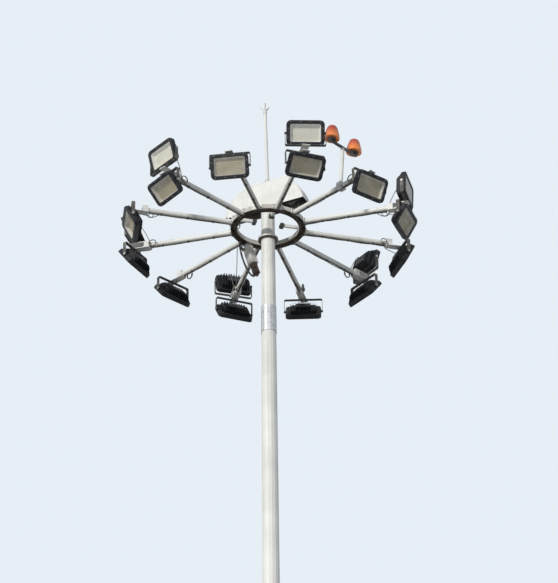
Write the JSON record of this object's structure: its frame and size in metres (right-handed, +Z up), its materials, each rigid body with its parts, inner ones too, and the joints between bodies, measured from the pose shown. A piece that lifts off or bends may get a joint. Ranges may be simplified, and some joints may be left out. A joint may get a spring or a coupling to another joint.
{
  "type": "high mast floodlight tower",
  "caption": "Tall tapered steel mast with a lowering ring of arms that carry tilting floodlights, under a hood with a lightning rod.",
  "frame": {"origin": "centre of the base flange's underside", "axes": "+Z up along the mast; the access door faces -Y; arm 1 of the ring is at azimuth -135 degrees"},
  "size_m": [3.3923, 3.392, 20.5867],
  "materials": {
    "white_paint": "weathered white paint",
    "galvanised_steel": "dull galvanised",
    "dark_steel": "dark weathered paint",
    "steel": "plain steel",
    "aluminium": "cast",
    "hood_sheet": "white painted sheet",
    "yoke_steel": "weathered black paint",
    "cable_rubber": "black sheath",
    "pad_plastic": "black nylon",
    "lamp_base": "dark cast",
    "red_lens": "red lens",
    "box_sheet": "light grey enamel",
    "plug_casing": "dark brown casing",
    "flood_casting": "black powder coat"
  },
  "bodies": {
    "mast": {"base_flange": "galvanised_steel", "base_gussets": "white_paint", "mast_lower": "white_paint", "door_frame": "white_paint", "access_door": "white_paint", "mast_middle": "white_paint", "mast_upper": "white_paint", "mast_sleeve": "galvanised_steel", "mast_head": "white_paint", "docking_collar": "galvanised_steel", "head_cap": "galvanised_steel", "head_cheeks": "dark_steel", "head_pulleys": "aluminium", "pulley_axles": "steel", "hood_ties": "dark_steel", "hood": "hood_sheet", "rod_foot": "galvanised_steel", "lightning_rod": "white_paint", "air_terminal": "white_paint"},
    "carriage": {"ring": "white_paint", "arms": "white_paint", "arm_heads": "white_paint", "lower_yokes": "yoke_steel", "upper_yokes": "yoke_steel", "arm_cables": "cable_rubber", "guide_arms": "white_paint", "guide_pads": "pad_plastic", "rope_lugs": "steel", "hoist_ropes": "steel", "post_clamp": "galvanised_steel", "lamp_post": "white_paint", "lamp_crossbar": "dark_steel", "lamp_bases": "lamp_base", "lamp_lenses": "red_lens", "box_hanger": "galvanised_steel", "junction_box": "box_sheet", "box_plug": "plug_casing"},
    "lower_flood_01": {"lower_flood_01": "flood_casting"},
    "upper_flood_01": {"upper_flood_01": "flood_casting"},
    "lower_flood_02": {"lower_flood_02": "flood_casting"},
    "lower_flood_03": {"lower_flood_03": "flood_casting"},
    "upper_flood_03": {"upper_flood_03": "flood_casting"},
    "lower_flood_04": {"lower_flood_04": "flood_casting"},
    "lower_flood_05": {"lower_flood_05": "flood_casting"},
    "upper_flood_05": {"upper_flood_05": "flood_casting"},
    "lower_flood_06": {"lower_flood_06": "flood_casting"},
    "lower_flood_07": {"lower_flood_07": "flood_casting"},
    "upper_flood_07": {"upper_flood_07": "flood_casting"},
    "lower_flood_08": {"lower_flood_08": "flood_casting"},
    "lower_flood_09": {"lower_flood_09": "flood_casting"},
    "upper_flood_09": {"upper_flood_09": "flood_casting"},
    "lower_flood_10": {"lower_flood_10": "flood_casting"},
    "lower_flood_11": {"lower_flood_11": "flood_casting"},
    "upper_flood_11": {"upper_flood_11": "flood_casting"},
    "lower_flood_12": {"lower_flood_12": "flood_casting"}
  },
  "joints": [
    {"name": "carriage_slide", "type": "slide", "parent": "mast", "child": "carriage", "axis": [0, 0, -1], "range_m": [0, 16.9]},
    {"name": "lower_tilt_01", "type": "hinge", "parent": "carriage", "child": "lower_flood_01", "pos_m": [-1.11369, -1.11369, 18.697], "axis": [0.6157, -0.788, 0], "range_deg": [-48, 32]},
    {"name": "upper_tilt_01", "type": "hinge", "parent": "carriage", "child": "upper_flood_01", "pos_m": [-1.13844, -1.13844, 19.103], "axis": [0.6428, -0.766, 0], "range_deg": [-21, 59]},
    {"name": "lower_tilt_02", "type": "hinge", "parent": "carriage", "child": "lower_flood_02", "pos_m": [-0.40764, -1.52133, 18.697], "axis": [0.9903, -0.1392, 0], "range_deg": [-30, 50]},
    {"name": "lower_tilt_03", "type": "hinge", "parent": "carriage", "child": "lower_flood_03", "pos_m": [0.40764, -1.52133, 18.697], "axis": [0.9455, 0.3256, 0], "range_deg": [-52, 28]},
    {"name": "upper_tilt_03", "type": "hinge", "parent": "carriage", "child": "upper_flood_03", "pos_m": [0.4167, -1.55514, 19.103], "axis": [0.9994, 0.0349, 0], "range_deg": [-32, 48]},
    {"name": "lower_tilt_04", "type": "hinge", "parent": "carriage", "child": "lower_flood_04", "pos_m": [1.11369, -1.11369, 18.697], "axis": [0.7986, 0.6018, 0], "range_deg": [-31, 49]},
    {"name": "lower_tilt_05", "type": "hinge", "parent": "carriage", "child": "lower_flood_05", "pos_m": [1.52133, -0.40764, 18.697], "axis": [0.342, 0.9397, 0], "range_deg": [-36, 44]},
    {"name": "upper_tilt_05", "type": "hinge", "parent": "carriage", "child": "upper_flood_05", "pos_m": [1.55514, -0.4167, 19.103], "axis": [0.2588, 0.9659, 0], "range_deg": [-8, 72]},
    {"name": "lower_tilt_06", "type": "hinge", "parent": "carriage", "child": "lower_flood_06", "pos_m": [1.52133, 0.40764, 18.697], "axis": [-0.342, 0.9397, 0], "range_deg": [-32, 48]},
    {"name": "lower_tilt_07", "type": "hinge", "parent": "carriage", "child": "lower_flood_07", "pos_m": [1.11369, 1.11369, 18.697], "axis": [-0.6157, 0.788, 0], "range_deg": [-44, 36]},
    {"name": "upper_tilt_07", "type": "hinge", "parent": "carriage", "child": "upper_flood_07", "pos_m": [1.13844, 1.13844, 19.103], "axis": [-0.5736, 0.8192, 0], "range_deg": [-23, 57]},
    {"name": "lower_tilt_08", "type": "hinge", "parent": "carriage", "child": "lower_flood_08", "pos_m": [0.40764, 1.52133, 18.697], "axis": [-0.9994, 0.0349, 0], "range_deg": [-41, 39]},
    {"name": "lower_tilt_09", "type": "hinge", "parent": "carriage", "child": "lower_flood_09", "pos_m": [-0.40764, 1.52133, 18.697], "axis": [-0.9336, -0.3584, 0], "range_deg": [-42, 38]},
    {"name": "upper_tilt_09", "type": "hinge", "parent": "carriage", "child": "upper_flood_09", "pos_m": [-0.4167, 1.55514, 19.103], "axis": [-0.9613, -0.2756, 0], "range_deg": [-26, 54]},
    {"name": "lower_tilt_10", "type": "hinge", "parent": "carriage", "child": "lower_flood_10", "pos_m": [-1.11369, 1.11369, 18.697], "axis": [-0.7431, -0.6691, 0], "range_deg": [-45, 35]},
    {"name": "lower_tilt_11", "type": "hinge", "parent": "carriage", "child": "lower_flood_11", "pos_m": [-1.52133, 0.40764, 18.697], "axis": [-0.5, -0.866, 0], "range_deg": [-41, 39]},
    {"name": "upper_tilt_11", "type": "hinge", "parent": "carriage", "child": "upper_flood_11", "pos_m": [-1.55514, 0.4167, 19.103], "axis": [-0.2924, -0.9563, 0], "range_deg": [-25, 55]},
    {"name": "lower_tilt_12", "type": "hinge", "parent": "carriage", "child": "lower_flood_12", "pos_m": [-1.52133, -0.40764, 18.697], "axis": [0.1219, -0.9925, 0], "range_deg": [-34, 46]}
  ]
}
